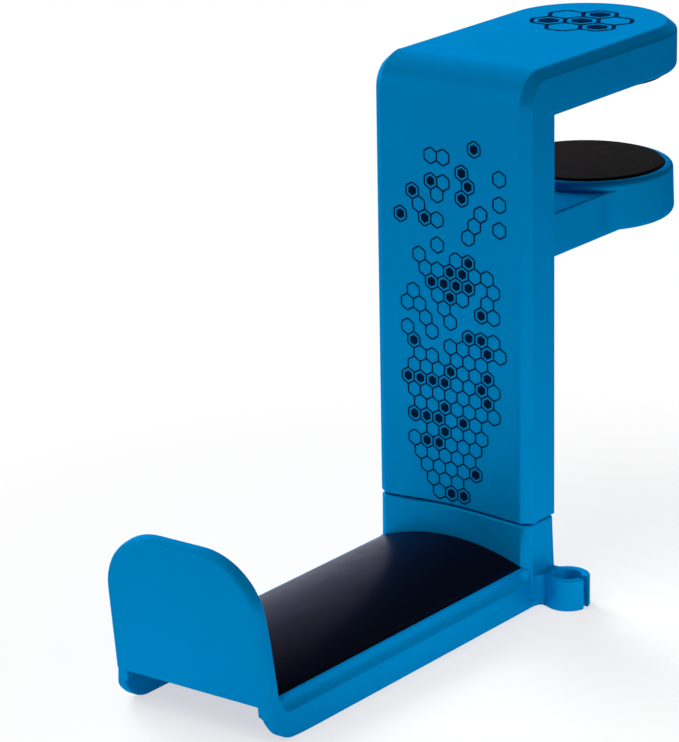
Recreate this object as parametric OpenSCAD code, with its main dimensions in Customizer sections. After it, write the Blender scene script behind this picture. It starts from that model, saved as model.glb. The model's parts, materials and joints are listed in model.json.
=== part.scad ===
// Headphone hanger that clamps on the edge of a desk.
// An inverted-L frame carries a fixed upper pad and a jaw that slides in its column. The jaw rides
// on a lead screw inside the column, and the cradle hook under the column turns that screw.
//
// Every module draws from one datum: X = 0 is the front face of the column, Y = 0 is the middle,
// Z = 0 is the rim of the seam between frame and hook. seat() then moves the drawing so that the
// origin lies on the clamp's centre line, in the face that rests on the desk. +X points over the
// desk, +Z up.

/* [Frame] */
// Width of the frame
frame_w = 38; // [34:0.5:44]
// Height of the frame above the seam
frame_h = 93.3; // [86:0.1:110]
// Depth of the column, front to back
column_d = 9.4; // [9:0.1:10]
// Height of the arm over the desk
arm_t = 10.1; // [8.8:0.1:11]
// Distance from the column's front face to the clamp's centre line
reach = 49.7; // [48:0.1:60]
// Outer radius of the bend between column and arm
bend_r = 7.2; // [6:0.1:8]
// Depth of the long edge chamfers, square to the front and top faces
edge_d = 1.7; // [0.8:0.1:1.8]
// Width of the long edge chamfers, along the front and top faces
edge_w = 2.1; // [1:0.1:3]
// Rounding of the arm's lower edges
under_r = 1.5; // [0.5:0.1:1.8]
// Fillet in the corner between column and arm
corner_r = 1; // [0.5:0.1:1.2]
// Front and top wall
skin = 1.6; // [1.4:0.1:1.7]
// Side walls
side_wall = 2; // [1.8:0.1:2.2]
// Wall of the inner cover
cover_t = 2; // [1.6:0.1:2.1]
// Height of the shallow cone that centres the hook under the frame
seam_rise = 1.1; // [0.4:0.1:1.8]
// Bottom plate, from the rim of the seam
plate_t = 3.6; // [3:0.1:4]

/* [Clamp] */
// Opening of the clamp as it stands
opening = 18.8; // [10:0.1:30]
// Largest opening of the clamp
opening_max = 38.8; // [35:0.1:40]
// Thickness of the upper pad, which is glued on the cover
top_pad_t = 1; // [0.6:0.1:2]
// Thickness of the jaw's pad
jaw_pad_t = 1.6; // [1.2:0.1:2]
// How far the jaw's pad stands out of its recess
pad_proud = 0.4; // [0.2:0.1:1]
// Gap between the upper pad and the frame's side walls
top_pad_in = 0.2; // [0.2:0.1:3]
// Ring of the jaw's head round its pad
jaw_pad_in = 1.9; // [1.6:0.1:4]

/* [Jaw] */
// How far the round head lies within the frame's width, on each side
head_in = 0.5; // [0:0.1:1]
// How far the head widens towards its foot
head_flare = 0.25; // [0:0.05:0.5]
// Height of the head
head_t = 10.6; // [9:0.1:12]
// Rounding of the head's lower edge
head_round = 1.5; // [1:0.1:3]
// Rounding of the head's upper edge
head_rim = 1.2; // [0.5:0.1:1.8]
// Width of the jaw's arm
jaw_arm_w = 28; // [22:0.5:30]
// Height of the jaw's arm
jaw_arm_t = 9.5; // [8:0.1:10]
// Rounding of the arm's lower edges
jaw_round = 1.2; // [0.5:0.1:1.8]
// Drop from the head's top to the arm's top
jaw_step = 1.9; // [0.8:0.1:2]
// Fillet between the arm and the head
jaw_fillet = 6; // [3:0.5:8]
// Width of the neck in the column's slot
neck_w = 14.4; // [12:0.1:15]
// Room between the carriage and the column's side walls
carriage_side = 1.8; // [0.3:0.1:3]
// Height of the carriage
carriage_h = 12.2; // [10.5:0.1:13]
// Walls round the hollow under the jaw
jaw_wall = 2.2; // [1.8:0.1:2.4]
// Ribs in that hollow
jaw_rib = 1.6; // [1.2:0.1:2]

/* [Screw] */
// Outside diameter of the lead screw
screw_dia = 4; // [3.8:0.1:4.2]
// Diameter of the screw's upper journal
journal_dia = 3; // [2.6:0.1:3.2]
// Diameter of the screw's collar
collar_dia = 5.4; // [5:0.1:5.6]
// Height of the screw's collar
collar_t = 1.5; // [1.2:0.1:2]
// Outside diameter of the lower bush
bush_dia = 5; // [4.8:0.1:5.2]
// Outside diameter of the upper bush
top_bush_dia = 5.6; // [5:0.1:5.8]
// Height of the upper bush
top_bush_h = 4; // [3:0.1:4.4]
// Width of the nut
nut_w = 7.6; // [7:0.1:9]
// Depth of the nut
nut_d = 5.6; // [5.4:0.1:6]
// Height of the nut
nut_h = 5; // [4:0.1:6]
// Width across the two flats at the screw's foot
flat_w = 3; // [2.8:0.1:3.2]

/* [Hook] */
// How far the block at the seam lies within the frame's width, on each side
block_in = 0.4; // [0.2:0.1:1]
// How far the block's sides lean out towards its foot
block_flare = 0.5; // [0:0.1:0.8]
// Gap at the seam
seam_gap = 0.35; // [0.2:0.05:0.6]
// Depth of the hook below the seam
hook_drop = 17.8; // [16:0.1:22]
// Distance from the block's front face to the lip's foot
cradle_len = 85.4; // [70:0.1:110]
// Height of the cradle's crown below the seam
crown_drop = 5.8; // [4:0.1:8]
// Radius of the cradle's crown
crown_r = 46; // [36:0.5:60]
// Radius of the hollow under the cradle
belly_r = 79; // [60:1:120]
// Thickness of the cradle at its crown, under the pad
cradle_t = 2.8; // [1.8:0.1:3]
// Thickness of the cradle's side walls
rail_t = 2.2; // [1.8:0.1:2.4]
// How far the side walls lean in, from the foot up to the seam
rail_lean = 0.9; // [0.3:0.1:1]
// Radius of the cove along the side walls
cove_r = 3; // [2.4:0.1:3.4]
// Depth of the cove, from the foot's width
cove_d = 1.4; // [1:0.1:1.5]
// Distance from the lip to the middle of the cove's round end
cove_end = 3.5; // [2.5:0.1:6]
// Thickness of the cradle pad along its middle
saddle_t = 1; // [0.8:0.1:1.4]
// Thickness of the cradle pad at its long edges
saddle_rim = 0.4; // [0.3:0.1:0.6]
// Wall of the cradle beside the pad, from the foot's width
saddle_in = 1.7; // [1.7:0.1:4]
// Radius of the walls' front corners
foot_r = 7.6; // [5:0.1:8]
// How far the walls start behind the lip's foot
foot_back = 0; // [0:0.1:2]
// Drop from the cradle's crown to the lip's lower edge
lip_drop = 4.4; // [3.5:0.1:6]

/* [Lip] */
// Height of the lip, from its lower edge
lip_h = 30; // [26:0.1:40]
// How far the lip's lower corners lie within the foot's width
lip_in = 0.2; // [0:0.1:1]
// Outward lean of the lip, in degrees
lip_lean = 7.9; // [3:0.1:12]
// Taper of each side of the lip, in degrees
lip_taper = 1.7; // [0:0.1:4]
// Radius of the lip's top corners
lip_r = 13; // [8:0.1:14]
// Thickness of the lip
lip_t = 3; // [2.6:0.1:4]
// Rounding of the walls' front edges, under the lip
wall_edge = 1.3; // [0.6:0.1:1.6]

/* [Cable clip] */
// Outside radius of the clip
clip_r = 4.6; // [4.4:0.1:6]
// Wall of the clip
clip_wall = 1.7; // [1.4:0.1:2]
// Height of the clip
clip_h = 6.6; // [5:0.1:8]
// Mouth of the clip
clip_mouth = 1.8; // [1.4:0.1:2.4]
// Distance from the column's front face to the clip's middle
clip_x = 6.9; // [6.5:0.1:7.5]
// Distance from the block's side to the clip's middle
clip_out = 5.3; // [5:0.1:7]
// Fillet between the cradle's wall and the clip's root
root_r = 1.8; // [1:0.1:2.4]

/* [Fasteners] */
// Shank diameter of the small screws
tap_dia = 2.2; // [2:0.1:2.4]
// Head diameter of the small screws
tap_head = 4; // [3.6:0.1:4.2]
// Diameter of the screw bosses
boss_dia = 5; // [4.6:0.1:5.2]
// Distance from a side wall to the screws of the bottom plate
plate_screw_in = 4; // [3:0.1:5]
// Distance from a side wall to the screws of the cover's upright
upright_screw_in = 5; // [3:0.1:6]
// Distance from a side wall to the screws behind the upper pad
arm_screw_in = 6; // [3:0.1:10]
// Distance from the upper pad's edge to those screws
arm_screw_back = 10.5; // [4:0.1:14]
// Distance from the clamp's centre line to the screw in the arm's tip
tip_screw_out = 11; // [8:0.1:12]
// Height of the upright's screws over the bottom plate
upright_screw_up = 16.4; // [14:0.1:20]

/* [Clearances] */
// Radial clearance of a running fit
run_gap = 0.05; // [0.02:0.01:0.1]
// Clearance of parts that slide on each other
slide_gap = 0.3; // [0.2:0.05:0.3]
// Clearance of parts that are laid or screwed in
seat_gap = 0.1; // [0.05:0.05:0.15]
// Least gap between the two clamp pads when closed
pad_gap = 0.3; // [0.3:0.1:0.5]

/* [Hidden] */

$fn = 96;
arc_steps = 8;          // flats along a small rounding
eps = 0.01;             // overlap that lets a cut run through a face
past = 1;               // how far a cutting tool runs past a face

blue = [0.0, 0.42, 0.70];
black = [0.05, 0.05, 0.06];
steel = [0.72, 0.73, 0.75];
brass = [0.80, 0.66, 0.35];
acetal = [0.90, 0.90, 0.87];
zinc = [0.55, 0.56, 0.58];

half_w = frame_w / 2;
half_block = half_w - block_in;                 // at the seam
axis_x = column_d / 2;                          // the screw and the hook turn about this line
arm_z = frame_h - arm_t;                        // underside of the arm
desk_z = arm_z - top_pad_t;                     // face of the upper pad
inner_w = frame_w - 2 * side_wall;
half_inner = inner_w / 2;
cover_w = inner_w - 2 * seat_gap;
cover_x = column_d - cover_t;                   // inner face of the cover's upright
roof_z = frame_h - skin;                        // underside of the top wall

top_pad_dia = inner_w - 2 * top_pad_in;
head_dia = frame_w - 2 * head_in;
jaw_pad_dia = head_dia - 2 * jaw_pad_in;
carriage_w = inner_w - 2 * carriage_side;
jaw_pad_z = desk_z - opening;                   // face of the jaw's pad
head_top = jaw_pad_z - pad_proud;
pad_seat = jaw_pad_z - jaw_pad_t;               // floor of the recess in the jaw's head
head_z = head_top - head_t;
jaw_arm_z = head_top - jaw_step - jaw_arm_t;
jaw_x = column_d + 2 * slide_gap;               // where the jaw's arm starts behind the cover
carriage_x = skin + slide_gap;
carriage_z = jaw_arm_z - (carriage_h - jaw_arm_t) / 2;
jaw_up = opening - pad_gap;
jaw_down = opening_max - opening;
slot_w = neck_w + 2 * slide_gap;
slot_z = jaw_arm_z - jaw_down - slide_gap - past;
slot_top = jaw_arm_z + jaw_arm_t + jaw_up + slide_gap;

nut_x = carriage_x + run_gap;
nut_z = carriage_z + (carriage_h - nut_h) / 2;

flange_t = 0.8;                                 // flange of the lower bush
washer_t = 0.6;                                 // thrust washer
flange_z = plate_t;
washer_z = flange_z + flange_t;
collar_z = washer_z + washer_t + run_gap;
thread_z = collar_z + collar_t;
top_bush_z = arm_z + cover_t + slide_gap;       // underside of the upper bearing block
relief_r = collar_dia / 2 + slide_gap;          // room for the collar in the cover

flats_drop = 0.95;
foot_z = -flats_drop;                           // where the screw's flats start
hub_z = -2.2;                                   // top of the drive hub
hub_h = 5.8;
hub_af = 5.6;
hub_flange_dia = 6.8;
hub_flange_t = 1;
hub_base = hub_z - hub_h - hub_flange_t;
wave_t = 0.6;
ring_t = 0.6;
ring_dia = 6;
ring_groove = 2.4;
wave_z = hub_base - wave_t;
ring_z = wave_z - ring_t;
screw_end = 1.1;                                // end of the screw past its retaining ring
screw_foot = ring_z - screw_end;
well_dia = 7;                                   // well in the block for hub, washer and ring
cap_t = 1.6;
cap_z = -hook_drop + 2 * seat_gap;

seam_pad_dia = column_d - 2 * (skin + seat_gap); // friction washer at the seam, clear of the front wall
seam_pad_t = 0.7;
seam_seat = seam_rise;                          // flat under the bottom plate that the washer meets

crown_z = -crown_drop;
saddle_w = frame_w - 2 * saddle_in;
saddle_len = cradle_len - lip_t - 2 * seat_gap;
belly_z = crown_z - saddle_t - cradle_t;
lip_z = crown_z - lip_drop;                     // lower edge of the lip
wall_x = -cradle_len + foot_back;               // front of the cradle's walls

clip_z = -hook_drop;
clip_y = -half_block - clip_out;
root_in = 1.2;
clip_root = clip_x - clip_r + root_in;          // front of the clip's root, where the rail ends

arm_screw_x = reach - top_pad_dia / 2 - arm_screw_back;
arm_screw_y = half_inner - arm_screw_in;
arm_screws = [[arm_screw_x, -arm_screw_y], [arm_screw_x, arm_screw_y], [reach + tip_screw_out, 0]];
upright_screw_y = half_inner - upright_screw_in;
upright_screw_z = plate_t + upright_screw_up;
plate_screw_y = half_inner - plate_screw_in;
plate_screw_x = skin + boss_dia / 2;
boss_h = 8.6;
tap_grip = 5;                                   // length of screw that bites into a boss
head_cone = 1.1;                                // height of a countersunk head
plate_sink = 1;                                 // how far the plate's screw heads lie above the rim

function seam_z(r) = seam_rise * (1 - r / half_w);

// Points of a rounding about middle, from angle a to angle b
function arc(middle, r, a, b, steps = arc_steps) = [
  for (k = [0:steps]) let (t = a + (b - a) * k / steps) middle + r * [cos(t), sin(t)]
];

// The same points on the other side of the line x = 0, in the order that closes an outline
function mirrored(points) = [
  for (k = [len(points) - 1:-1:0]) [-points[k][0], points[k][1]]
];

// One side of the arm's section, from its rounded lower edge to its cut upper edge
function arm_side() = concat(
  arc([half_w - under_r, arm_z + under_r], under_r, -90, 0),
  [[half_w, frame_h - edge_d], [half_w - edge_w, frame_h]]
);

// Moves the drawing from its datum to the origin on the desk
module seat() {
  translate([-reach, 0, -desk_z]) children();
}

// A box with its middle on Y = 0
module slab(x0, x1, w, z0, z1) {
  translate([x0, -w / 2, z0]) cube([x1 - x0, w, z1 - z0]);
}

// A round bar about the screw's axis
module spindle(d, z0, z1) {
  translate([axis_x, 0, z0]) cylinder(d = d, h = z1 - z0);
}

// All that lies under the seam's cone, lowered by drop
module below_seam(drop) {
  rim = frame_w;
  floor_z = -hook_drop - 2 * past;
  translate([axis_x, 0, 0]) rotate_extrude()
    polygon([[0, floor_z], [rim, floor_z], [rim, seam_z(rim) - drop], [0, seam_rise - drop]]);
}

// A shape and its mirror image across the middle
module both_sides() {
  children();
  mirror([0, 1, 0]) children();
}

// Plan of the column and of the block, half wide to each side. Their two long front edges are cut
// in the same planes.
module column_plan(half) {
  flat = half_w - edge_w;
  cut_x = edge_d * (half - flat) / edge_w;
  polygon([[0, -flat], [cut_x, -half], [column_d, -half], [column_d, half], [cut_x, half], [0, flat]]);
}

// Fillet under the bend, in the corner between column and arm
module corner_fillet(w) {
  translate([column_d, 0, arm_z]) rotate([90, 0, 0]) linear_extrude(w, center = true)
    polygon(concat(
      [[-past, -corner_r]], arc([corner_r, -corner_r], corner_r, 180, 90),
      [[corner_r, past], [-past, past]]
    ));
}

// Outside of the frame: column, bend, arm and round tip
module frame_outside() {
  bend_z = frame_h - bend_r;
  difference() {
    translate([0, 0, -past]) linear_extrude(bend_z + past) column_plan(half_w);
    below_seam(0);
  }
  translate([bend_r, 0, bend_z]) rotate([90, 0, 0]) rotate([0, 0, 90]) rotate_extrude(angle = 90)
    polygon([
      [0, -half_w], [bend_r - edge_d, -half_w], [bend_r, -half_w + edge_w],
      [bend_r, half_w - edge_w], [bend_r - edge_d, half_w], [0, half_w]
    ]);
  translate([bend_r, 0, 0]) rotate([90, 0, 90]) linear_extrude(reach - bend_r)
    polygon(concat(arm_side(), mirrored(arm_side())));
  translate([reach, 0, 0]) rotate([0, 0, -90]) rotate_extrude(angle = 180)
    polygon(concat([[0, arm_z]], arm_side(), [[0, frame_h]]));
  corner_fillet(frame_w - 2 * under_r);
}

// Hollow of the frame, open at the back of the column and under the arm
module frame_inside() {
  bend_z = frame_h - bend_r;
  rotate([90, 0, 0]) linear_extrude(inner_w, center = true) polygon(concat(
    [[skin, -past]],
    arc([bend_r, bend_z], bend_r - skin, 180, 90, 2 * arc_steps),
    [[reach, roof_z], [reach, arm_z - past], [column_d + past, arm_z - past], [column_d + past, -past]]));
  translate([reach, 0, arm_z - past]) cylinder(d = inner_w, h = arm_t + past - skin);
}

// Bosses that the cover and the bottom plate are screwed to, as solids
module frame_bosses() {
  for (p = arm_screws)
    translate([p[0], p[1], arm_z + cover_t]) cylinder(d = boss_dia, h = arm_t - cover_t - skin / 2);
  for (y = [-upright_screw_y, upright_screw_y])
    translate([skin / 2, y, upright_screw_z]) rotate([0, 90, 0])
      cylinder(d = boss_dia, h = cover_x - skin / 2);
  for (y = [-plate_screw_y, plate_screw_y]) {
    translate([plate_screw_x, y, plate_t]) cylinder(d = boss_dia, h = boss_h);
    translate([skin / 2, y - boss_dia / 4, plate_t])
      cube([plate_screw_x - skin / 2, boss_dia / 2, boss_h]);
  }
}

// Where a screw bites into each boss
module boss_pilots() {
  d = tap_dia + 2 * run_gap;
  for (p = arm_screws)
    translate([p[0], p[1], arm_z + cover_t - eps]) cylinder(d = d, h = tap_grip);
  for (y = [-upright_screw_y, upright_screw_y])
    translate([cover_x - tap_grip + skin / 2, y, upright_screw_z]) rotate([0, 90, 0])
      cylinder(d = d, h = tap_grip);
  for (y = [-plate_screw_y, plate_screw_y])
    translate([plate_screw_x, y, plate_t - eps]) cylinder(d = d, h = tap_grip);
}

module outer_frame() {
  block_x = axis_x + top_bush_dia / 2 + skin / 2;
  color(blue) seat() difference() {
    union() {
      difference() {
        frame_outside();
        frame_inside();
      }
      frame_bosses();
      // bearing block for the upper bush, kept inside the bend
      intersection() {
        slab(0, block_x, top_bush_dia + 2 * side_wall, top_bush_z, frame_h);
        translate([bend_r, 0, frame_h - bend_r]) rotate([90, 0, 0])
          cylinder(r = bend_r - skin / 2, h = inner_w, center = true);
      }
    }
    boss_pilots();
    spindle(top_bush_dia, top_bush_z - past, top_bush_z + top_bush_h);
  }
}

// Closes the back of the column and the underside of the arm, and leaves the jaw its slot
module inner_cover() {
  hole = tap_dia + 2 * seat_gap;
  cone_h = head_cone + seat_gap;
  color(blue) seat() difference() {
    union() {
      slab(cover_x, column_d, cover_w, plate_t + seat_gap, arm_z + cover_t);
      slab(cover_x, reach, cover_w, arm_z, arm_z + cover_t);
      translate([reach, 0, arm_z]) cylinder(d = cover_w, h = cover_t);
      corner_fillet(cover_w);
    }
    slab(cover_x - past, column_d + past, slot_w, slot_z, slot_top);
    translate([axis_x, 0, 0]) cylinder(r = relief_r, h = thread_z + slide_gap);
    for (p = arm_screws) translate([p[0], p[1], arm_z]) {
      translate([0, 0, -past]) cylinder(d = hole, h = cover_t + 2 * past);
      cylinder(d1 = tap_head + 2 * seat_gap, d2 = hole, h = cone_h);
    }
    for (y = [-upright_screw_y, upright_screw_y])
      translate([column_d, y, upright_screw_z]) rotate([0, -90, 0]) {
        translate([0, 0, -past]) cylinder(d = hole, h = cover_t + 2 * past);
        cylinder(d1 = tap_head + 2 * seat_gap, d2 = hole, h = cone_h);
      }
  }
}

// A countersunk self-tapping screw: its head's face at Z = 0, its shank up
module tap_screw(grip) {
  point = tap_dia / 2;
  difference() {
    rotate_extrude()
      polygon([
        [0, 0], [tap_head / 2, 0], [tap_dia / 2, head_cone], [tap_dia / 2, grip - point],
        [0, grip]
      ]);
    for (a = [0, 90]) rotate([0, 0, a])
      translate([-tap_head / 4, -tap_dia / 8, -eps]) cube([tap_head / 2, tap_dia / 4, head_cone / 2]);
  }
}

module cover_screws() {
  length = cover_t + tap_grip - 4 * seat_gap;
  color(zinc) seat() {
    for (p = arm_screws) translate([p[0], p[1], arm_z + seat_gap]) tap_screw(length);
    for (y = [-upright_screw_y, upright_screw_y])
      translate([column_d - seat_gap, y, upright_screw_z]) rotate([0, -90, 0])
        tap_screw(length - skin);
  }
}

// A round pad: its face at Z = 0, with the edge broken, and its back up
module clamp_pad(d, t) {
  edge = 0.4;
  rotate_extrude()
    polygon([[0, 0], [d / 2 - edge, 0], [d / 2, edge], [d / 2, t], [0, t]]);
}

module top_pad() {
  color(black) seat() translate([reach, 0, desk_z]) clamp_pad(top_pad_dia, top_pad_t);
}

// Closes the foot of the column; its underside continues the seam's cone
module bottom_plate() {
  hole = tap_dia + 2 * seat_gap;
  color(blue) seat() difference() {
    slab(skin + seat_gap, column_d, cover_w, -past, plate_t);
    below_seam(0);
    spindle(bush_dia, -past, plate_t + past);
    spindle(seam_pad_dia + 2 * seat_gap, -past, seam_seat);
    for (y = [-plate_screw_y, plate_screw_y]) translate([plate_screw_x, y, 0]) {
      translate([0, 0, -past]) cylinder(d = hole, h = plate_t + 2 * past);
      translate([0, 0, -past]) cylinder(d = tap_head + 2 * seat_gap, h = past + plate_sink);
      translate([0, 0, plate_sink]) cylinder(d1 = tap_head + 2 * seat_gap, d2 = hole, h = head_cone);
    }
  }
}

module plate_screws() {
  color(zinc) seat() for (y = [-plate_screw_y, plate_screw_y])
    translate([plate_screw_x, y, plate_sink + seat_gap])
      tap_screw(plate_t + tap_grip - plate_sink - 3 * seat_gap);
}

// A ring about the screw's axis
module ring(od, id, z, h) {
  translate([axis_x, 0, z]) difference() {
    cylinder(d = od, h = h);
    translate([0, 0, -past]) cylinder(d = id, h = h + 2 * past);
  }
}

module upper_bush() {
  color(acetal) seat() ring(top_bush_dia, journal_dia + 2 * run_gap, top_bush_z, top_bush_h);
}

module lower_bush() {
  bore = screw_dia + 2 * run_gap;
  color(acetal) seat() difference() {
    union() {
      spindle(bush_dia, seam_seat, plate_t + eps);
      spindle(collar_dia, flange_z, flange_z + flange_t);
    }
    spindle(bore, -past, plate_t + 2 * past);
  }
}

module thrust_washer() {
  color(steel) seat() ring(collar_dia, screw_dia + 2 * run_gap, washer_z, washer_t);
}

// Lead screw: upper journal, thread at its full diameter, collar, lower journal, two flats and
// the groove for its retaining ring
module lead_screw() {
  thread_top = top_bush_z - slide_gap;
  tip_z = top_bush_z + top_bush_h - slide_gap;
  color(steel) seat() {
    difference() {
      union() {
        spindle(journal_dia, thread_top - eps, tip_z);
        spindle(screw_dia, foot_z, thread_top);
        spindle(collar_dia, collar_z, thread_z);
        intersection() {
          spindle(screw_dia, screw_foot, foot_z + eps);
          translate([axis_x - flat_w / 2, -screw_dia, screw_foot])
            cube([flat_w, 2 * screw_dia, foot_z - screw_foot + eps]);
        }
      }
      ring(2 * screw_dia, ring_groove, ring_z - run_gap, ring_t + 2 * run_gap);
    }
  }
}

// Plan of the jaw: arm, round head and the fillets between them
module jaw_plan() {
  head_r = head_dia / 2;
  half_arm = jaw_arm_w / 2;
  fillet_y = half_arm + jaw_fillet;
  fillet_x = reach - sqrt(pow(head_r + jaw_fillet, 2) - fillet_y * fillet_y);
  touch = head_r / (head_r + jaw_fillet);
  touch_x = reach + (fillet_x - reach) * touch;
  touch_y = fillet_y * touch;
  difference() {
    polygon([
      [jaw_x, -half_arm], [fillet_x, -half_arm], [touch_x, -touch_y], [reach, -touch_y],
      [reach, touch_y], [touch_x, touch_y], [fillet_x, half_arm], [jaw_x, half_arm]
    ]);
    for (s = [-1, 1]) translate([fillet_x, s * fillet_y]) circle(r = jaw_fillet);
  }
}

// Hollow under the arm and the head, with a rib along the middle and one across
module jaw_core() {
  core_r = head_dia / 2 - head_round - jaw_wall / 2;
  head_roof = pad_seat - jaw_wall;
  arm_roof = jaw_arm_z + jaw_arm_t - jaw_wall;
  rib_x = reach - core_r;
  difference() {
    union() {
      translate([reach, 0, jaw_arm_z - past]) cylinder(r = core_r, h = head_roof - jaw_arm_z + past);
      slab(jaw_x + jaw_wall, reach, jaw_arm_w - 2 * jaw_wall, jaw_arm_z - past, arm_roof);
    }
    // the ribs lie a little above the edge
    slab(0, 2 * reach, jaw_rib, head_z + past, head_top);
    slab(rib_x, rib_x + jaw_rib, jaw_arm_w, head_z + past, head_top);
  }
}

// Half section of the jaw's head, from its foot up: it widens downwards and both edges are rounded
module head_half() {
  low = [head_dia / 2 + head_flare - head_round, head_round];
  high = [head_dia / 2 - head_rim, head_t - head_rim];
  tilt = atan(head_flare / (high[1] - low[1]));
  polygon(concat(
    [[0, 0]], arc(low, head_round, -90, tilt), arc(high, head_rim, tilt, 90), [[0, head_t]]
  ));
}

// Lower part of the jaw arm's section, with its edges rounded
module jaw_keel() {
  side = arc([jaw_arm_w / 2 - jaw_round, jaw_round], jaw_round, -90, 0);
  polygon(concat(side, mirrored(side)));
}

module jaw() {
  color(blue) seat() difference() {
    union() {
      translate([0, 0, jaw_arm_z + jaw_round]) linear_extrude(jaw_arm_t - jaw_round) jaw_plan();
      translate([jaw_x, 0, jaw_arm_z]) rotate([90, 0, 90]) linear_extrude(reach - jaw_x) jaw_keel();
      translate([reach, 0, head_z]) rotate_extrude() head_half();
      // neck and carriage
      slab(axis_x, jaw_x + eps, neck_w, jaw_arm_z, jaw_arm_z + jaw_arm_t);
      slab(carriage_x, cover_x - slide_gap, carriage_w, carriage_z, carriage_z + carriage_h);
    }
    jaw_core();
    // the pad's recess
    translate([reach, 0, pad_seat]) cylinder(d = jaw_pad_dia + 2 * seat_gap, h = jaw_pad_t);
    // the screw passes, and the nut is laid in from the front
    spindle(screw_dia + 2 * slide_gap, carriage_z - past, carriage_z + carriage_h + past);
    slab(0, axis_x, screw_dia + 2 * slide_gap, carriage_z - past, carriage_z + carriage_h + past);
    slab(0, nut_x + nut_d, nut_w + 2 * seat_gap, nut_z, nut_z + nut_h);
  }
}

module jaw_nut() {
  color(brass) seat() difference() {
    slab(nut_x, nut_x + nut_d, nut_w, nut_z, nut_z + nut_h);
    spindle(screw_dia + 2 * run_gap, nut_z - past, nut_z + nut_h + past);
  }
}

module jaw_pad() {
  color(black) seat() translate([reach, 0, jaw_pad_z]) mirror([0, 0, 1]) clamp_pad(jaw_pad_dia, jaw_pad_t);
}

// Runs a section drawn across the hook back along -X from x0, over a length
module run_back(x0, length) {
  translate([x0, 0, 0]) rotate([90, 0, -90]) linear_extrude(length) children();
}

// Block under the seam, whose sides lean out towards its foot
module hook_block() {
  half_foot = half_block + block_flare;
  intersection() {
    translate([0, 0, -hook_drop]) linear_extrude(hook_drop + seam_rise) column_plan(half_foot);
    below_seam(seam_gap);
    run_back(column_d + past, column_d + 2 * past)
      polygon([
        [-half_foot, -hook_drop], [half_foot, -hook_drop], [half_block, seam_rise],
        [-half_block, seam_rise]
      ]);
  }
}

// What lies under the cradle's round crown
module crown_section() {
  intersection() {
    translate([-frame_w, -hook_drop]) square([2 * frame_w, hook_drop]);
    translate([0, crown_z - crown_r]) circle(r = crown_r, $fn = 8 * $fn);
  }
}

// Hollow under the cradle: upright walls, cut corners that leave room for the coves, a round roof
module belly_section() {
  inner = half_w - rail_t;
  corner_z = lip_z - cove_r;
  cut = inner / 2;
  intersection() {
    polygon([
      [-inner, -hook_drop - past], [inner, -hook_drop - past], [inner, corner_z],
      [inner - cut, corner_z + cut], [-inner + cut, corner_z + cut], [-inner, corner_z]
    ]);
    translate([0, belly_z - belly_r]) circle(r = belly_r, $fn = 8 * $fn);
  }
}

// The pad's bed in the crown, and the pad itself: thick along the middle, thin at the long edges
module saddle_section() {
  half = saddle_w / 2;
  edge_z = crown_z - crown_r + sqrt(pow(crown_r, 2) - pow(half, 2)) - saddle_rim;
  bed_z = crown_z - saddle_t;
  bed_sag = bed_z - edge_z;
  bed_r = (pow(half, 2) + pow(bed_sag, 2)) / (2 * bed_sag);
  difference() {
    intersection() {
      translate([-half, lip_z - past]) square([saddle_w, -lip_z]);
      translate([0, crown_z - crown_r]) circle(r = crown_r, $fn = 8 * $fn);
    }
    translate([0, bed_z - bed_r]) circle(r = bed_r, $fn = 8 * $fn);
  }
}

// Side view that trims the cradle: round front corners of the walls, under the lip
module cradle_side() {
  round_x = wall_x + foot_r;
  round_z = -hook_drop + foot_r;
  rotate([90, 0, 0]) linear_extrude(2 * frame_w, center = true) {
    translate([round_x, -hook_drop]) square([column_d - round_x, hook_drop]);
    translate([round_x, round_z]) circle(r = foot_r);
    translate([-cradle_len, round_z]) square([cradle_len, -round_z]);
  }
}

// Side wall at +Y, which leans in, with a rounded front edge
module cradle_wall() {
  deep = rail_t + wall_edge / 2;
  translate([0, half_w, -hook_drop]) rotate([atan(rail_lean / hook_drop), 0, 0])
    translate([0, 0, -past]) linear_extrude(hook_drop + past)
      polygon(concat(
        [[clip_root, 0]], arc([wall_x + wall_edge, -wall_edge], wall_edge, 90, 180),
        [[wall_x, -deep], [clip_root, -deep]]
      ));
}

// A round bar up along Z from the origin, with a round end at each end
module round_bar(r, length) {
  rotate_extrude() polygon(concat(arc([0, 0], r, -90, 0), arc([0, length], r, 0, 90)));
}

// Cradle: an arch behind the lip between two walls, with a cove along each wall
module cradle() {
  arch_w = frame_w - rail_t;
  cove_x = -cradle_len + lip_t + cove_end;
  cove_len = -cove_r / 2 - cove_x;
  difference() {
    intersection() {
      union() {
        slab(-cradle_len + lip_t, clip_root, arch_w, -hook_drop - past, 0);
        // the arch reaches into the lip's plate
        slab(-cradle_len + lip_t / 2, 0, arch_w, lip_z, 0);
        both_sides() cradle_wall();
      }
      run_back(clip_root, cradle_len + clip_root) crown_section();
      cradle_side();
    }
    run_back(0, cradle_len + past) belly_section();
    both_sides() translate([cove_x, half_w - cove_d + cove_r, lip_z]) rotate([0, 90, 0])
      round_bar(cove_r, cove_len);
  }
}

// Lip: a tapered plate with round top corners
module lip() {
  half = half_w - lip_in;
  corner_z = lip_h - lip_r;
  corner_y = half - corner_z * tan(lip_taper) - lip_r / cos(lip_taper);
  side = arc([corner_y, corner_z], lip_r, lip_taper, 90, 3 * arc_steps);
  translate([-cradle_len, 0, lip_z]) rotate([0, -lip_lean, 0]) rotate([90, 0, 90])
    linear_extrude(lip_t) polygon(concat([[half, 0]], side, mirrored(side), [[-half, 0]]));
}

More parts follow.
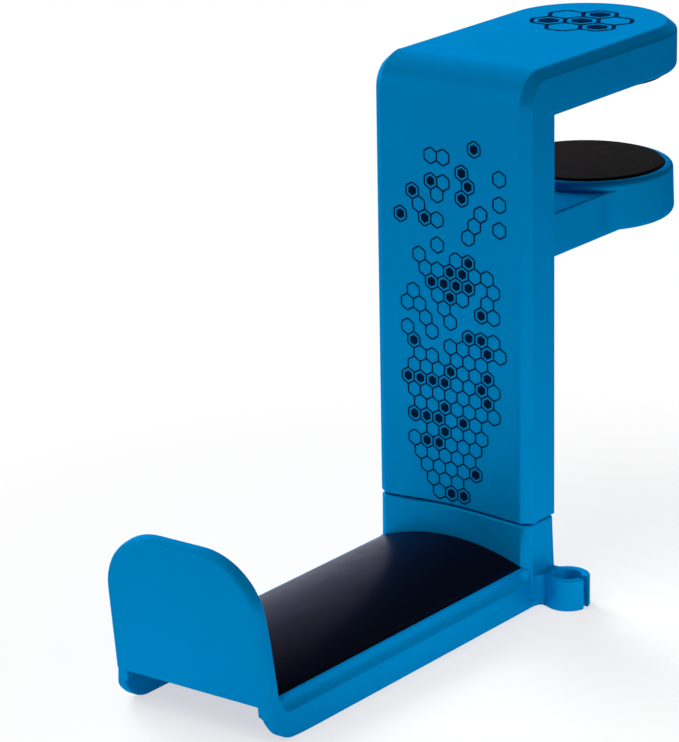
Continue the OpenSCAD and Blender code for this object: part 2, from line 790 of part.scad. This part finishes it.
// Open ring that holds the headphone's cable, on the block's side
module cable_clip() {
  bore_r = clip_r - clip_wall;
  tip_y = clip_y - clip_r;
  mouth_x = clip_x - clip_mouth / 2;
  difference() {
    union() {
      translate([clip_x, clip_y, clip_z]) cylinder(r = clip_r, h = clip_h);
      translate([clip_root, clip_y, clip_z])
        cube([column_d - clip_root, clip_out + side_wall, clip_h]);
      // fillet from the cradle's wall to the root's front
      translate([clip_root - root_r, -half_w - root_r, clip_z]) linear_extrude(clip_h)
        polygon(concat(
          arc([0, 0], root_r, 90, 0),
          [[root_r + past, 0], [root_r + past, root_r + side_wall], [0, root_r + side_wall]]
        ));
    }
    translate([clip_x, clip_y, clip_z - past]) cylinder(r = bore_r, h = clip_h + 2 * past);
    translate([mouth_x, tip_y - past, clip_z - past])
      cube([clip_mouth, clip_r + past, clip_h + 2 * past]);
  }
}

// Hexagon with flats square to X
module hex_bar(af, z0, z1) {
  translate([axis_x, 0, z0]) rotate([0, 0, 30]) cylinder(d = af / cos(30), h = z1 - z0, $fn = 6);
}

module hook() {
  pocket_in = well_dia / 2 + rail_t;
  pocket_out = half_block - rail_t;
  pocket_roof = lip_z + cradle_t;
  color(blue) seat() difference() {
    union() {
      hook_block();
      cradle();
      lip();
      cable_clip();
    }
    run_back(0, saddle_len) saddle_section();
    // hollows on both sides of the block's middle
    for (s = [-1, 1])
      translate([rail_t, s < 0 ? -pocket_out : pocket_in, -hook_drop - past])
        cube([column_d - 2 * rail_t, pocket_out - pocket_in, hook_drop + past + pocket_roof]);
    // seat of the seam washer, passage for the screw, seat of the hub and the well below it
    spindle(seam_pad_dia + 2 * seat_gap, seam_seat - seam_pad_t, seam_rise + past);
    spindle(screw_dia + 2 * slide_gap, hub_z - past, seam_rise);
    hex_bar(hub_af, hub_z - hub_h - eps, hub_z);
    spindle(well_dia, -hook_drop - past, hub_z - hub_h);
  }
}

module cradle_pad() {
  color(black) seat() run_back(0, saddle_len) saddle_section();
}

// Passage in the hub: round, with two flats
module flats_passage(z0, z1) {
  wide = screw_dia + 2 * run_gap;
  intersection() {
    spindle(wide, z0, z1);
    translate([axis_x - flat_w / 2 - run_gap, -wide, z0])
      cube([flat_w + 2 * run_gap, 2 * wide, z1 - z0]);
  }
}

module drive_hub() {
  color(brass) seat() difference() {
    union() {
      hex_bar(hub_af, hub_z - hub_h, hub_z);
      spindle(hub_flange_dia, hub_base, hub_z - hub_h);
    }
    flats_passage(hub_base - past, hub_z + past);
  }
}

module seam_washer() {
  color(acetal) seat()
    ring(seam_pad_dia, screw_dia + 2 * seat_gap, seam_seat - seam_pad_t, seam_pad_t - run_gap);
}

module wave_washer() {
  color(steel) seat() ring(hub_flange_dia - 2 * slide_gap, screw_dia + 2 * slide_gap, wave_z, wave_t);
}

module retaining_ring() {
  gape = ring_groove;
  color(zinc) seat() difference() {
    ring(ring_dia, ring_groove + 2 * run_gap, ring_z, ring_t);
    translate([axis_x - gape / 2, 0, ring_z - past]) cube([gape, ring_dia, ring_t + 2 * past]);
  }
}

module hook_cap() {
  color(blue) seat() spindle(well_dia, cap_z, cap_z + cap_t);
}

outer_frame();
inner_cover();
cover_screws();
top_pad();
bottom_plate();
plate_screws();
upper_bush();
lower_bush();
thrust_washer();
lead_screw();
jaw();
jaw_nut();
jaw_pad();
hook();
cradle_pad();
drive_hub();
seam_washer();
wave_washer();
retaining_ring();
hook_cap();
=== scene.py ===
import json
import math
import random

import bmesh
import bpy
from mathutils import Matrix, Vector


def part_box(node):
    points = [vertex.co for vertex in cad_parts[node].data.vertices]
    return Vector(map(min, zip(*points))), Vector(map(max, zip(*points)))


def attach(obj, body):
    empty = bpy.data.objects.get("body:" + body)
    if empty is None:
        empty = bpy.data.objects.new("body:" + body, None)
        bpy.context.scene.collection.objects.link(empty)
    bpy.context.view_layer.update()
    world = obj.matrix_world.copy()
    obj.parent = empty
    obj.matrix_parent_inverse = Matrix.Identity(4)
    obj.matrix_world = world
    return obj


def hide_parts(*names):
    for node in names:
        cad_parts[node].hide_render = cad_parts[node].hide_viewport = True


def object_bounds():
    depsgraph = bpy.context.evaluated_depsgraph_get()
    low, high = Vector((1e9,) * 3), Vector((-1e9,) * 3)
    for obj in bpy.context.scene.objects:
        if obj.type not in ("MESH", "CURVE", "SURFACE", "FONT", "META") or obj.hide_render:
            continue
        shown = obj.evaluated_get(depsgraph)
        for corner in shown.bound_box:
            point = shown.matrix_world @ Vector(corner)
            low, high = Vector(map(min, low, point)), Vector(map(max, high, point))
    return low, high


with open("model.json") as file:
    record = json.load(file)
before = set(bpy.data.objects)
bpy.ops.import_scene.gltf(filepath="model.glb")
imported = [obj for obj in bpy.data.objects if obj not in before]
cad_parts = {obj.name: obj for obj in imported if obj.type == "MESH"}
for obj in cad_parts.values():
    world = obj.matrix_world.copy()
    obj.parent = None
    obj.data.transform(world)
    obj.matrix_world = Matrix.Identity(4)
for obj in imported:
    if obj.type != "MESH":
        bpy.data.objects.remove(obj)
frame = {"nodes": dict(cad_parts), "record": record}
cad_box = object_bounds()
scene = bpy.context.scene
nodes = frame["nodes"]
MM = 0.001


# ---------------------------------------------------------------- materials

class Tree:
    """A material's node tree, with one Principled shader."""

    def __init__(self, name):
        self.material = bpy.data.materials.new(name)
        self.material.use_nodes = True
        self.nodes = self.material.node_tree.nodes
        self.links = self.material.node_tree.links
        self.shader = self.nodes["Principled BSDF"]
        self.place = self.add("ShaderNodeTexCoord").outputs["Object"]

    def add(self, kind, inputs=None, **settings):
        """A new node; an input may be a number, a colour or another node's output."""
        n = self.nodes.new(kind)
        for key, value in settings.items():
            setattr(n, key, value)
        for key, value in (inputs or {}).items():
            self.feed(n.inputs[key], value)
        return n

    def feed(self, socket, value):
        if isinstance(value, bpy.types.NodeSocket):
            self.links.new(value, socket)
        else:
            socket.default_value = value

    def set(self, **inputs):
        for key, value in inputs.items():
            self.feed(self.shader.inputs[key.replace("_", " ")], value)

    def noise(self, size, detail=2.0, stretch=None):
        """Noise whose lumps are about size metres across."""
        place = self.place
        if stretch:
            mapping = self.add("ShaderNodeMapping", {"Vector": place, "Scale": stretch})
            place = mapping.outputs["Vector"]
        return self.add("ShaderNodeTexNoise", {
            "Vector": place, "Scale": 1 / size, "Detail": detail, "Roughness": 0.55}).outputs["Fac"]

    def spread(self, value, low, high, start=0.3, end=0.7):
        """The value, stretched so that start becomes low and end becomes high."""
        return self.add("ShaderNodeMapRange", {
            "Value": value, "From Min": start, "From Max": end,
            "To Min": low, "To Max": high}).outputs["Result"]

    def mix(self, factor, a, b):
        n = self.add("ShaderNodeMix", data_type="RGBA")
        self.feed(n.inputs["Factor"], factor)
        self.feed(n.inputs[6], a)
        self.feed(n.inputs[7], b)
        return n.outputs[2]

    def bump(self, height, strength, depth):
        return self.add("ShaderNodeBump", {
            "Height": height, "Strength": strength, "Distance": depth}).outputs["Normal"]


def moulded(name, dark, light, rough, level, metallic, tint, grain, depth):
    """Moulded plastic or rubber: a slow drift of colour, a fine eroded grain and patches of gloss."""
    t = Tree(name)
    drift = t.spread(t.noise(30 * MM, 3), 0.0, 1.0)
    t.set(Base_Color=t.mix(drift, (*dark, 1), (*light, 1)),
          Roughness=t.spread(t.noise(6 * MM, 4), rough - 0.03, rough + 0.03),
          Specular_IOR_Level=level, Specular_Tint=(*tint, 1), Metallic=metallic,
          Normal=t.bump(t.noise(grain, 2), 0.35, depth))
    return t.material


# the blue has a pearl in it, so what it mirrors is blue too
BLUE = moulded("blue_moulding", dark=(0.0, 0.230, 0.545), light=(0.0, 0.242, 0.570), rough=0.34,
               level=0.0, metallic=0.33, tint=(0.0, 0.60, 1.0), grain=0.35 * MM, depth=0.02 * MM)
PAD = moulded("black_pad", dark=(0.0034, 0.0022, 0.0032), light=(0.0048, 0.0034, 0.0045), rough=0.75,
              level=0.05, metallic=0.0, tint=(1.0, 0.9, 1.0), grain=0.2 * MM, depth=0.03 * MM)
SADDLE = moulded("saddle_skin", dark=(0.0020, 0.0022, 0.0040), light=(0.0028, 0.0030, 0.0040), rough=0.30,
                 level=0.03, metallic=0.20, tint=(0.45, 0.48, 1.0), grain=0.2 * MM, depth=0.008 * MM)
INK = moulded("print_ink", dark=(0.0008, 0.010, 0.036), light=(0.0012, 0.014, 0.046), rough=0.42,
              level=0.0, metallic=0.2, tint=(0.0, 0.5, 1.0), grain=0.3 * MM, depth=0.01 * MM)
ACETAL = moulded("acetal", dark=(0.76, 0.76, 0.71), light=(0.82, 0.82, 0.78), rough=0.42,
                 level=0.4, metallic=0.0, tint=(1.0, 1.0, 1.0), grain=0.4 * MM, depth=0.01 * MM)


def metal(name, dark, light, rough, stretch):
    """Turned or plated metal, with fine lines where stretch squeezes the noise."""
    t = Tree(name)
    lines = t.noise(0.6 * MM, 3, stretch)
    t.set(Base_Color=t.mix(t.spread(lines, 0, 1), (*dark, 1), (*light, 1)), Metallic=1.0,
          Roughness=t.spread(t.noise(2 * MM, 3), rough - 0.06, rough + 0.06),
          Normal=t.bump(lines, 0.2, 0.01 * MM))
    return t.material


TURNED = (1, 1, 6)
PLATED = (1, 1, 1)
STEEL = metal("steel", dark=(0.46, 0.47, 0.49), light=(0.60, 0.61, 0.63), rough=0.30, stretch=TURNED)
ZINC = metal("zinc_plate", dark=(0.40, 0.41, 0.44), light=(0.55, 0.56, 0.58), rough=0.36, stretch=PLATED)
BRASS = metal("brass", dark=(0.55, 0.38, 0.13), light=(0.68, 0.49, 0.19), rough=0.30, stretch=TURNED)

BY_SLOT = {
    "blue_plastic": BLUE,
    "black_rubber": PAD,
    "black_saddle": SADDLE,
    "acetal": ACETAL,
    "steel": STEEL,
    "zinc_plated": ZINC,
    "brass": BRASS,
}
slot_of = {part["node"]: part["material_slot"] for part in frame["record"]["subparts"]}
bodies = frame["record"]["behaviour"]["bodies"]
body_of = {member: body for body, members in bodies.items() for member in members}
for name, slot in slot_of.items():
    for holder in nodes[name].material_slots:
        holder.material = BY_SLOT[slot]


# ---------------------------------------------------------------- softened mouldings

WELD = 0.03 * MM            # corners closer than this become one
FLAT = math.radians(0.6)    # faces that meet at less than this are joined
SHARP = math.radians(28)    # edges above this are rounded
TINY = 0.3 * MM             # edges shorter than this leave no room for a rounding
ROOM = 2.5                  # nor does one that goes off sideways and is shorter than this many widths
ALONG = 0.8                 # the cosine between two edges, below which one goes off sideways
FACING = 0.95               # a normal's part along an axis, above which a face looks that way
UPRIGHT_SIDE = 0.99         # the same for the block's sides, which lean by a degree or two
LIP_AREA = 400 * MM * MM    # only the lip has an outer face larger than this


def piece(name, mesh, material, body):
    """A new object of one material that rides on a body."""
    obj = bpy.data.objects.new(name, mesh)
    scene.collection.objects.link(obj)
    mesh.materials.clear()
    mesh.materials.append(material)
    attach(obj, body)
    return obj


def direction(edge):
    return (edge.verts[0].co - edge.verts[1].co).normalized()


def crowded(edge, room):
    """True where a rounding would not fit: at a tiny edge, or a short one that goes off sideways."""
    for other in (e for v in edge.verts for e in v.link_edges):
        sideways = abs(direction(other).dot(direction(edge))) < ALONG
        if other.calc_length() < (room if sideways else TINY):
            return True
    return False


def softened(node, width, wide_width=None, is_wide=None, segments=3, flat=FLAT, kept=None):
    """A CAD solid with its flat faces joined and its sharp edges rounded, as a mould rounds them.

    Edges for which is_wide is true get wide_width. Those for which kept is true stay between faces that
    would else be joined.
    """
    mesh = nodes[node].data.copy()
    mesh.name = node + "_moulding"
    bm = bmesh.new()
    bm.from_mesh(mesh)
    bmesh.ops.remove_doubles(bm, verts=bm.verts, dist=WELD)
    bmesh.ops.dissolve_degenerate(bm, dist=WELD, edges=bm.edges)
    joined = [e for e in bm.edges if not (kept and kept(e))]
    bmesh.ops.dissolve_limit(bm, angle_limit=flat, verts=bm.verts, edges=joined)
    top = wide_width or width
    weight = bm.edges.layers.float.new("bevel_weight_edge")
    for edge in bm.edges:
        if edge.is_manifold and edge.calc_face_angle(0) > SHARP:
            if crowded(edge, ROOM * width):
                edge.smooth = False
            else:
                edge[weight] = 1.0 if is_wide and is_wide(edge) else width / top
    for face in bm.faces:
        face.smooth = True
    bm.to_mesh(mesh)
    bm.free()
    obj = piece(mesh.name, mesh, BY_SLOT[slot_of[node]], body_of[node])
    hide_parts(node)
    rounding = obj.modifiers.new("rounding", "BEVEL")
    rounding.width = top
    rounding.segments = segments
    rounding.limit_method = "WEIGHT"
    rounding.use_clamp_overlap = False
    rounding.miter_outer = "MITER_ARC"
    shading = obj.modifiers.new("shading", "WEIGHTED_NORMAL")
    shading.mode = "FACE_AREA"
    shading.weight = 100
    shading.keep_sharp = True


def lip_front(edge):
    """True for the outline of the lip's outer face."""
    return any(f.normal.x < -FACING and f.calc_area() > LIP_AREA for f in edge.link_faces)


def block_side(edge):
    """True between the triangles of the block's sides, where the clip leaves a strip too thin to join."""
    block_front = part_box("cradle_pad")[1].x
    return all(abs(f.normal.y) > UPRIGHT_SIDE and f.calc_center_median().x > block_front
               for f in edge.link_faces)


softened("outer_frame", 0.40 * MM)
softened("jaw", 0.40 * MM)
softened("hook", 0.35 * MM, wide_width=1.3 * MM, is_wide=lip_front, segments=4, kept=block_side)
softened("inner_cover", 0.20 * MM)
softened("cradle_pad", 0.25 * MM, flat=FLAT / 20)
softened("jaw_pad", 0.25 * MM)
softened("top_pad", 0.20 * MM)
softened("hook_cap", 0.15 * MM)


# ---------------------------------------------------------------- the screw's thread

THREAD_R = 2.0 * MM
CORE_R = 1.6 * MM
LEAD = 2.0 * MM
STARTS = 2
RIDGE_SINK = 0.05 * MM      # how deep a ridge stands in the core
RIDGE_FOOT = 0.42 * MM      # half its height at the core
RIDGE_TIP = 0.1 * MM        # half its height at the crest
STEPS_PER_TURN = 24


def helix_ridge(bm, axis, base, length, lead, start, root, crest, foot, tip):
    """One closed ridge of a thread, wound on the screw's core."""
    steps = STEPS_PER_TURN
    count = int(length / lead * steps)
    rings = []
    for k in range(count + 1):
        turn = 2 * math.pi * (k / steps + start)
        height = base + lead * k / steps
        out = Vector((math.cos(turn), math.sin(turn), 0))
        rings.append([bm.verts.new(axis + out * r + Vector((0, 0, height + dz)))
                      for r, dz in ((root, -foot), (crest, -tip), (crest, tip), (root, foot))])
    for a, b in zip(rings, rings[1:]):
        for k in range(4):
            bm.faces.new((a[k], b[k], b[(k + 1) % 4], a[(k + 1) % 4]))
    bm.faces.new(rings[0])
    bm.faces.new(rings[-1][::-1])


def threaded(node, thread_r, core_r, lead, starts):
    """The screw, with its length of radius thread_r turned down to the core and the ridges wound on."""
    low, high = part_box(node)
    axis = Vector(((low.x + high.x) / 2, (low.y + high.y) / 2, 0))
    mesh = nodes[node].data.copy()
    mesh.name = node + "_threaded"
    bm = bmesh.new()
    bm.from_mesh(mesh)
    bmesh.ops.remove_doubles(bm, verts=bm.verts, dist=WELD)
    ring = [v for v in bm.verts if abs((v.co - axis).xy.length - thread_r) < 0.05 * MM]
    bottom = min(v.co.z for v in ring)
    height = max(v.co.z for v in ring)
    for v in ring:
        out = v.co - axis
        v.co.x = axis.x + out.x * core_r / thread_r
        v.co.y = axis.y + out.y * core_r / thread_r
    for k in range(starts):
        helix_ridge(bm, axis, bottom + lead / 2, height - bottom - lead, lead, k / starts,
                    core_r - RIDGE_SINK, thread_r, RIDGE_FOOT, RIDGE_TIP)
    bmesh.ops.recalc_face_normals(bm, faces=bm.faces)
    bm.to_mesh(mesh)
    bm.free()
    obj = piece(mesh.name, mesh, BY_SLOT[slot_of[node]], body_of[node])
    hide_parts(node)


threaded("lead_screw", THREAD_R, CORE_R, LEAD, STARTS)


# ---------------------------------------------------------------- print on the frame

def heading(degrees):
    angle = math.radians(degrees)
    return Vector((math.cos(angle), math.sin(angle)))


HEX = [heading(60 * k + 30) for k in range(6)]
INK_T = 0.05 * MM
DOT_SHARE = 0.62            # a filled hexagon's size, as a share of its cell's


def prism(bm, outline, place):
    """A closed thin plate on a face; place(u, v, h) puts a point of the print on the object."""
    lower = [bm.verts.new(place(p.x, p.y, -INK_T / 2)) for p in outline]
    upper = [bm.verts.new(place(p.x, p.y, INK_T / 2)) for p in outline]
    bm.faces.new(upper)
    bm.faces.new(lower[::-1])
    for k in range(len(outline)):
        j = (k + 1) % len(outline)
        bm.faces.new((lower[k], lower[j], upper[j], upper[k]))


def honeycomb(name, cells, filled, size, line, place, body):
    """The walls between hexagonal cells, each drawn once, and a solid hexagon in some of the cells."""
    bm = bmesh.new()
    walls = {}
    for c in cells:
        for k in range(6):
            a = c + HEX[k] * size
            b = c + HEX[(k + 1) % 6] * size
            key = (round((a + b).x / size, 2), round((a + b).y / size, 2))
            walls.setdefault(key, (a, b))
    for a, b in walls.values():
        along = (b - a).normalized()
        side = Vector((-along.y, along.x)) * line / 2
        point = along * line / (2 * math.tan(math.radians(60)))
        prism(bm, [a, a + point - side, b - point - side, b, b - point + side, a + point + side], place)
    for c in filled:
        prism(bm, [c + h * size * DOT_SHARE for h in HEX], place)
    mesh = bpy.data.meshes.new(name)
    bmesh.ops.recalc_face_normals(bm, faces=bm.faces)
    bm.to_mesh(mesh)
    bm.free()
    return piece(name, mesh, INK, body)


def cell_grid(size, half_w, top):
    """Centres of hexagonal cells that stand on a corner, from the height 0 to top."""
    row_h = 1.5 * size
    col_w = math.sqrt(3) * size
    across = int(half_w / col_w) + 1
    for row in range(int(top / row_h) + 1):
        for col in range(-across, across + 1):
            c = Vector((col_w * (col + 0.5 * (row % 2)), row * row_h))
            if abs(c.x) <= half_w:
                yield c


frame_low, frame_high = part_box("outer_frame")
PRINT_W = 13.6 * MM         # from the column's middle line to either side
PRINT_H = 74 * MM
PRINT_CELL = 1.75 * MM      # from a cell's centre to its corners
PRINT_LINE = 0.34 * MM
PRINT_FOOT = 3.4 * MM       # from the column's foot to the lowest cells' centres


def cell_chance(up, out):
    """How likely a cell is printed: surely low down in the middle, seldom high up or far out."""
    reach = 0.45 + 0.9 * min(up / 0.55, 1)
    return (1.30 - 1.25 * up) * (1.15 - (out / reach) ** 2)


def fill_chance(up):
    return 0.12 + 0.35 * up


dice = random.Random(7)
cells = []
filled = []
for c in cell_grid(PRINT_CELL, PRINT_W, PRINT_H):
    up = c.y / PRINT_H
    out = abs(c.x) / PRINT_W
    if dice.random() < cell_chance(up, out):
        cells.append(c)
        if dice.random() < fill_chance(up):
            filled.append(c)


def on_front(u, v, h):
    return Vector((frame_low.x - h, -u, frame_low.z + PRINT_FOOT + v))


honeycomb("front_print", cells, filled, PRINT_CELL, PRINT_LINE, on_front, body_of["outer_frame"])

ROSETTE_CELL = 4.0 * MM
ROSETTE_LINE = 0.9 * MM
ROSETTE_AT = Vector((-1.5 * MM, 0, frame_high.z))


def on_top(u, v, h):
    return ROSETTE_AT + Vector((u, v, h))


middle_cell = Vector((0, 0))
petals = [heading(60 * k) * ROSETTE_CELL * math.sqrt(3) for k in range(6)]
honeycomb("top_rosette", petals, [middle_cell] + petals[::2], ROSETTE_CELL, ROSETTE_LINE, on_top,
          body_of["outer_frame"])


# ---------------------------------------------------------------- floor, light, camera

low, high = cad_box
middle = (low + high) / 2


def node(tree, kind, *inputs, **settings):
    """A new node with its inputs set or linked in order; gives back its first output."""
    n = tree.nodes.new(kind)
    for key, value in settings.items():
        setattr(n, key, value)
    for k, value in enumerate(inputs):
        if isinstance(value, bpy.types.NodeSocket):
            tree.links.new(value, n.inputs[k])
        elif value is not None:
            n.inputs[k].default_value = value
    return n.outputs[0]


def either(tree, a, b):
    return node(tree, "ShaderNodeMath", a, b, operation="MAXIMUM")


def ramp(tree, value, start, end, low, high):
    """Low where the value is below start, high above end, and a smooth change between."""
    return node(tree, "ShaderNodeMapRange", value, start, end, low, high, interpolation_type="SMOOTHSTEP")


FLOOR_HALF = 4.0
QUARTERS = ((-1, -1), (1, -1), (1, 1), (-1, 1))
floor_mesh = bpy.data.meshes.new("floor")
floor_mesh.from_pydata([(FLOOR_HALF * x, FLOOR_HALF * y, 0) for x, y in QUARTERS], [], [(0, 1, 2, 3)])
floor = bpy.data.objects.new("floor", floor_mesh)
floor.location = (middle.x, middle.y, low.z)
scene.collection.objects.link(floor)

# the floor is white paper that shows its shadows near the object and glows white farther out;
# what it throws back at the object comes from near by only
PAPER = (0.93, 0.93, 0.93, 1)
DIM_PAPER = (0.12, 0.12, 0.12, 1)
BOUNCE_NEAR = 0.08
BOUNCE_FAR = 0.22
SHADOW_NEAR = 0.06
SHADOW_FAR = 0.16
GLOW_NEAR = 0.57            # the glow's share near the object, where the paper shows the rest
paper = Tree("floor_paper")
floor_mesh.materials.append(paper.material)
pt = paper.material.node_tree
path = pt.nodes.new("ShaderNodeLightPath").outputs
seen = either(pt, either(pt, path["Is Camera Ray"], path["Is Transmission Ray"]), path["Is Glossy Ray"])
distance = pt.nodes.new("ShaderNodeVectorMath")
distance.operation = "LENGTH"
pt.links.new(paper.place, distance.inputs[0])
far = distance.outputs["Value"]
bounced = paper.mix(ramp(pt, far, BOUNCE_NEAR, BOUNCE_FAR, 0, 1), PAPER, DIM_PAPER)
paper.set(Base_Color=paper.mix(path["Is Diffuse Ray"], PAPER, bounced),
          Roughness=0.9, Specular_IOR_Level=0.0)
glow_share = ramp(pt, far, SHADOW_NEAR, SHADOW_FAR, GLOW_NEAR, 1.0)
share = node(pt, "ShaderNodeMath", seen, glow_share, operation="MULTIPLY")
glow = node(pt, "ShaderNodeEmission", (1, 1, 1, 1), 1.0)
pt.links.new(node(pt, "ShaderNodeMixShader", share, paper.shader.outputs[0], glow),
             pt.nodes["Material Output"].inputs["Surface"])

# as mirrored in the object, the room is white on the +Y side and dimmer on the -Y side and overhead;
# as light it is weak, and the camera sees it white
DIM_SIDE = 0.22
DIM_OVERHEAD = 0.30
ROOM_LIGHT = 0.08
ROOM_WHITE = (0.94, 0.97, 1.0, 1)
world = bpy.data.worlds.new("studio")
scene.world = world
world.use_nodes = True
wt = world.node_tree
path = wt.nodes.new("ShaderNodeLightPath").outputs
toward = wt.nodes.new("ShaderNodeSeparateXYZ")
wt.links.new(wt.nodes.new("ShaderNodeTexCoord").outputs["Generated"], toward.inputs[0])
behind = ramp(wt, toward.outputs["Y"], -0.25, 0.25, DIM_SIDE, 1.0)
overhead = ramp(wt, toward.outputs["Z"], 0.33, 0.70, 1.0, DIM_OVERHEAD)
lit = node(wt, "ShaderNodeBackground", ROOM_WHITE, ROOM_LIGHT)
mirrored = node(wt, "ShaderNodeBackground", (1, 1, 1, 1),
                node(wt, "ShaderNodeMath", behind, overhead, operation="MULTIPLY"))
white = node(wt, "ShaderNodeBackground", (1, 1, 1, 1), 1.0)
room = node(wt, "ShaderNodeMixShader", path["Is Glossy Ray"], lit, mirrored)
straight = either(wt, path["Is Camera Ray"], path["Is Transmission Ray"])
wt.links.new(node(wt, "ShaderNodeMixShader", straight, room, white),
             wt.nodes["World Output"].inputs["Surface"])


def softbox(name, at, size, watts, target=None, spread=180):
    """A square lamp that nothing mirrors, at so many metres from its target or the object's middle."""
    data = bpy.data.lights.new(name, "AREA")
    data.shape = "SQUARE"
    data.size = size
    data.energy = watts
    data.spread = math.radians(spread)
    lamp = bpy.data.objects.new(name, data)
    target = target or middle
    lamp.location = target + Vector(at)
    lamp.rotation_euler = Vector(at).to_track_quat("Z", "Y").to_euler()
    lamp.visible_glossy = False
    lamp.visible_camera = False
    scene.collection.objects.link(lamp)


softbox("key_light", (0.6, 1.3, 0.66), size=1.2, watts=22)
softbox("top_light", (-0.6, 0.1, 1.25), size=1.2, watts=10)
softbox("front_light", (-1.4, 0.1, 0.7), size=0.9, watts=3)

# three small lamps reach the jaw's top, in the shade of the frame's arm, and the feet of the cradle's
# side wall and lip
rail_foot = Vector((middle.x - 15 * MM, -19 * MM, low.z + 8 * MM))
lip_foot = Vector((low.x, 0, low.z + 10 * MM))
jaw_arm = Vector((-30 * MM, 0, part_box("jaw")[1].z))
softbox("jaw_light", (0.15, 0.35, 0.22), size=0.20, watts=0.068, target=jaw_arm, spread=30)
softbox("low_light", (0, -0.16, 0.03), size=0.06, watts=0.034, target=rail_foot, spread=90)
softbox("low_lip_light", (-0.17, 0, 0.035), size=0.06, watts=0.013, target=lip_foot, spread=70)

# the camera stands in front, on the side of the cable clip, a little above the hanger
CAMERA_AT = (-0.617178, -0.401789, 0.171363)
YAW = math.radians(37.157)
PITCH = math.radians(-17.816)
ROLL = math.radians(-1.057)
LENS = 190.77
SENSOR = 36.0
forward = Vector((math.cos(YAW) * math.cos(PITCH), math.sin(YAW) * math.cos(PITCH), math.sin(PITCH)))
level = Vector((math.sin(YAW), -math.cos(YAW), 0))
upright = level.cross(forward)
right = level * math.cos(ROLL) + upright * math.sin(ROLL)
up = upright * math.cos(ROLL) - level * math.sin(ROLL)
cam_data = bpy.data.cameras.new("camera")
cam_data.sensor_fit = "HORIZONTAL"
cam_data.sensor_width = SENSOR
cam_data.lens = LENS
cam_data.clip_end = 50
camera = bpy.data.objects.new("camera", cam_data)
camera.matrix_world = Matrix((
    (right.x, up.x, -forward.x, CAMERA_AT[0]),
    (right.y, up.y, -forward.y, CAMERA_AT[1]),
    (right.z, up.z, -forward.z, CAMERA_AT[2]),
    (0, 0, 0, 1)))
scene.collection.objects.link(camera)
scene.camera = camera
scene.view_settings.view_transform = "Standard"
